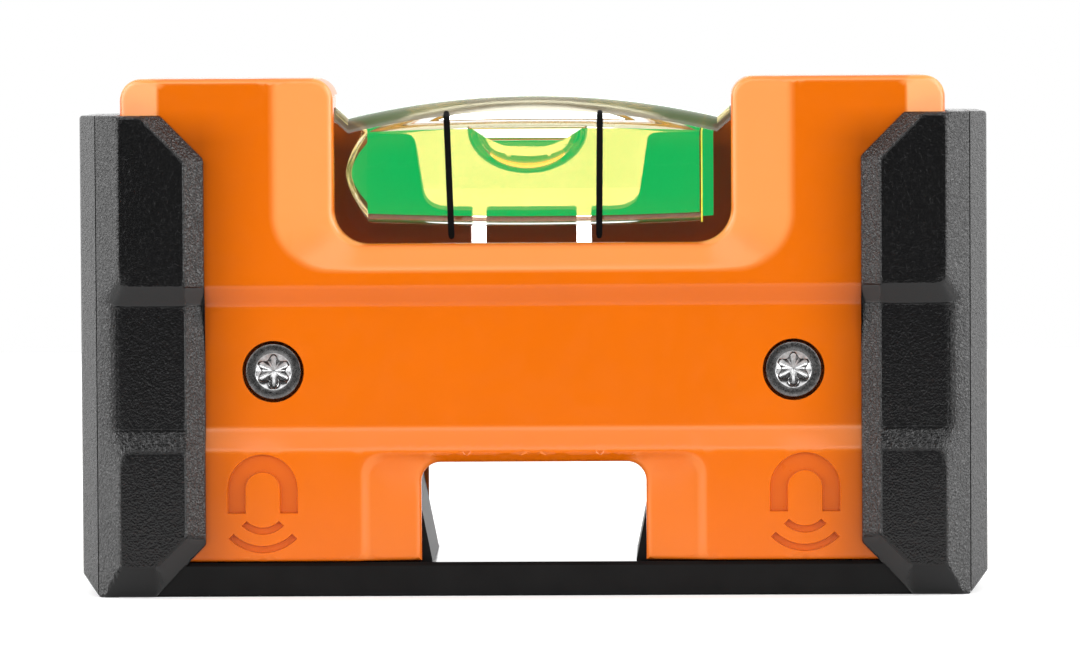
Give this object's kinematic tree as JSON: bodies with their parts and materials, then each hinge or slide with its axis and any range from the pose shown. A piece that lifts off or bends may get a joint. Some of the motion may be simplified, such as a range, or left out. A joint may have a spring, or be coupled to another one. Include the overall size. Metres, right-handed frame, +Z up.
{
  "type": "magnetic pocket spirit level",
  "caption": "Small spirit level with a moulded two-half housing, bumper end caps, a magnetic base rail and a clear vial whose bubble travels along it.",
  "frame": {"origin": "middle of the magnetic base's underside; the level stands on z = 0", "axes": "+X along the level, +Z up, -Y is the front face with the screws"},
  "size_m": [0.08, 0.024, 0.0456],
  "materials": {
    "housing": "satin orange moulding",
    "grip": "fine leather grain",
    "base": "smooth black",
    "magnet": "nickel plated",
    "keeper": "plain steel",
    "screw": "dark zinc",
    "vial_clear": "clear acrylic",
    "vial_line": "black ink",
    "vial_plug": "clear glued plug",
    "vial_fluid": "yellow-green spirit",
    "bubble": "air"
  },
  "bodies": {
    "level": {"front_shell": "housing", "rear_shell": "housing", "end_cap_left_front": "grip", "end_cap_left_rear": "grip", "end_cap_right_front": "grip", "end_cap_right_rear": "grip", "base_rail": "base", "magnet_left": "magnet", "magnet_right": "magnet", "keeper_left": "keeper", "keeper_right": "keeper", "screw_left": "screw", "screw_right": "screw", "vial_block": "vial_clear", "vial_line_left": "vial_line", "vial_line_right": "vial_line", "vial_plug": "vial_plug", "vial_fluid": "vial_fluid"},
    "bubble": {"bubble": "bubble"}
  },
  "joints": [
    {"name": "bubble_travel", "type": "slide", "parent": "level", "child": "bubble", "axis": [1, 0, 0], "range_m": [-0.0085, 0.0085], "stiffness_N_per_m": 1.5}
  ]
}
